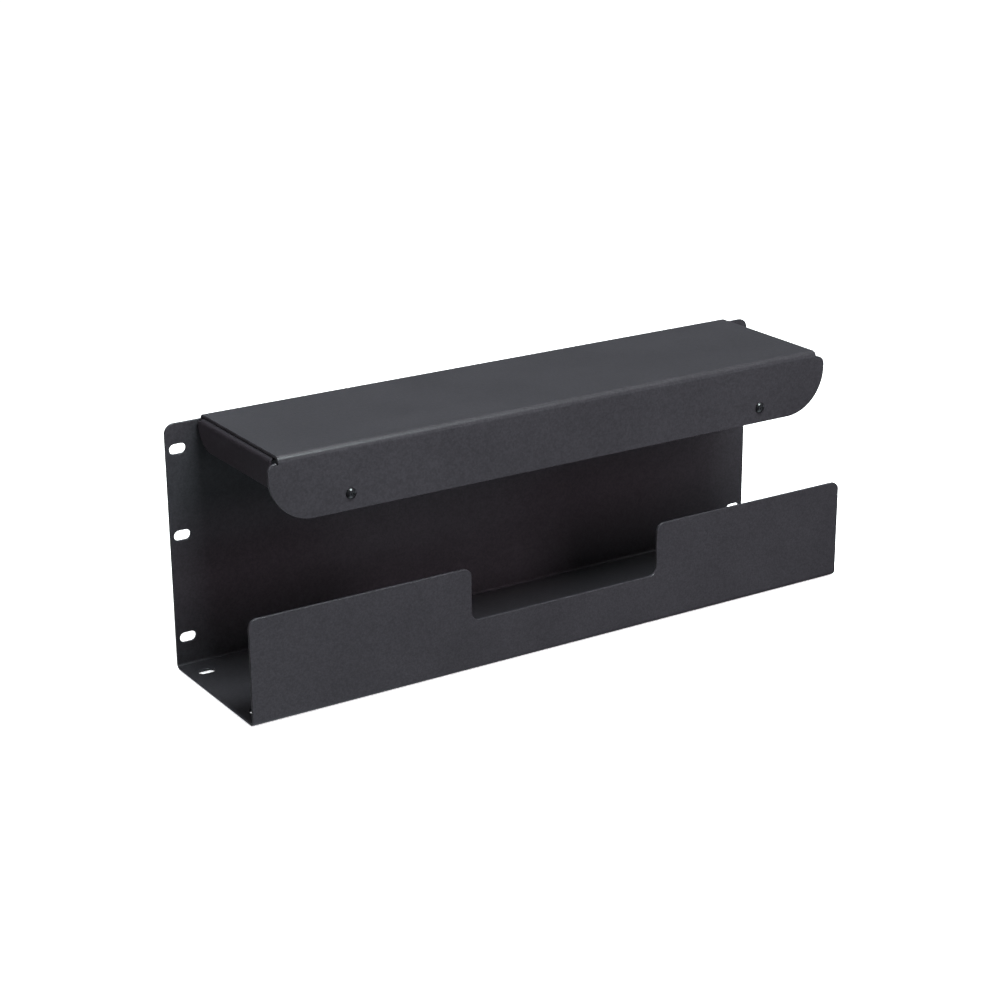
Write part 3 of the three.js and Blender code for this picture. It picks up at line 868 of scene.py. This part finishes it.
height = add(wt, "ShaderNodeMapRange")
height.inputs["From Min"].default_value, height.inputs["From Max"].default_value = -1.0, 1.0
wt.links.new(split.outputs["Z"], height.inputs["Value"])
domes = [ramp(wt, height.outputs["Result"], [((z + 1) / 2, tuple(v / SKY_MAX * k for k in SKY_TINT)) for z, v in stops])
         for stops in (SKY_FRONT, SKY_BACK)]
both_sides = add(wt, "ShaderNodeMix", data_type="RGBA")
wt.links.new(spread(split.outputs["Y"], -0.35, 0.35), both_sides.inputs["Factor"])
wt.links.new(domes[0].outputs["Color"], both_sides.inputs["A"])
wt.links.new(domes[1].outputs["Color"], both_sides.inputs["B"])
wt.links.new(both_sides.outputs["Result"], bg.inputs["Color"])
side = add(wt, "ShaderNodeMath", operation="MULTIPLY", in_1=SKY_MAX)
lifted = add(wt, "ShaderNodeMath", operation="MAXIMUM")
wt.links.new(spread(split.outputs["X"], 0.26, 0.52, 1.0, 0.08), lifted.inputs[0])
band = ramp(wt, height.outputs["Result"], [((z + 1) / 2, (v, v, v)) for z, v in ((-0.20, 0.0), (-0.14, 0.60), (-0.03, 0.60), (0.10, 0.28), (0.55, 0.28), (0.70, 0.0))])
wt.links.new(band.outputs["Color"], lifted.inputs[1])
wt.links.new(lifted.outputs[0], side.inputs[0])
left = add(wt, "ShaderNodeMath", operation="MULTIPLY")
wt.links.new(side.outputs[0], left.inputs[0])
wt.links.new(spread(split.outputs["X"], -0.50, -0.06, 0.02, 1.0), left.inputs[1])
wt.links.new(left.outputs[0], bg.inputs["Strength"])
pale = add(wt, "ShaderNodeBackground")
pale.inputs["Color"].default_value, pale.inputs["Strength"].default_value = (0.93, 0.94, 0.95, 1.0), 1.0
ray = add(wt, "ShaderNodeLightPath")
seen = add(wt, "ShaderNodeMixShader")
wt.links.new(ray.outputs["Is Camera Ray"], seen.inputs["Fac"])
wt.links.new(bg.outputs["Background"], seen.inputs[1])
wt.links.new(pale.outputs["Background"], seen.inputs[2])
wt.links.new(seen.outputs["Shader"], wt.nodes["World Output"].inputs["Surface"])
bpy.context.scene.world = world


def area_light(name, at, to, size_x, size_y, power, colour=(1.0, 1.0, 1.0)):
    data = bpy.data.lights.new(name, "AREA")
    data.shape = "RECTANGLE"
    data.size, data.size_y = size_x, size_y
    data.energy = power
    data.color = colour
    obj = bpy.data.objects.new(name, data)
    obj.location = at
    obj.rotation_mode = "QUATERNION"
    obj.rotation_quaternion = (Vector(to) - Vector(at)).to_track_quat("-Z", "Y")
    obj.visible_camera = False
    bpy.context.scene.collection.objects.link(obj)
    return obj


area_light("overhead_box", (0.3, 0.8, 3.8), (0.3, 0.8, 0.0), 8.0, 8.0, 60.0)
area_light("top_box", (0.22, 0.24, 2.0), (0.0, 0.0, 0.1), 0.9, 0.45, 9.0)
area_light("key_box", (0.04, -1.00, 1.76), (-0.05, -0.05, 0.1), 0.7, 0.7, 53.0, (0.91, 1.04, 1.04))
area_light("left_card", (-2.00, -0.10, 0.24), (0.0, -0.05, 0.14), 0.6, 0.4, 13.0).visible_glossy = False
area_light("right_card", (2.00, -0.35, 0.55), (0.0, -0.05, 0.12), 0.6, 0.6, 8.0).visible_glossy = False
area_light("rear_card", (0.50, 3.00, 1.20), (0.0, 0.0, 0.1), 1.6, 1.2, 90.0).visible_glossy = False
area_light("front_fill", (0.30, -1.60, 0.66), (0.0, 0.0, 0.1), 0.7, 0.7, 13.5, (1.10, 0.92, 1.0)).visible_glossy = False

camera_data = bpy.data.cameras.new("camera")
camera_data.sensor_fit = "HORIZONTAL"
camera_data.sensor_width = 36.0
camera_data.lens = 82.20
camera_data.shift_x, camera_data.shift_y = -0.008355, -0.004661
camera_data.clip_start, camera_data.clip_end = 0.05, 100.0
camera = bpy.data.objects.new("camera", camera_data)
bpy.context.scene.collection.objects.link(camera)
right = Vector((0.840226, -0.542206, -0.005806))
up = Vector((0.184285, 0.275475, 0.943479))
back = -Vector((0.509960, 0.793805, -0.331382))
place = row((-578.519, -1315.003, 621.595))
m = Matrix((right, up, back)).transposed().to_4x4()
m.translation = place
camera.matrix_world = m
bpy.context.scene.camera = camera

bpy.context.scene.view_settings.view_transform = "Standard"

bpy.context.view_layer.update()
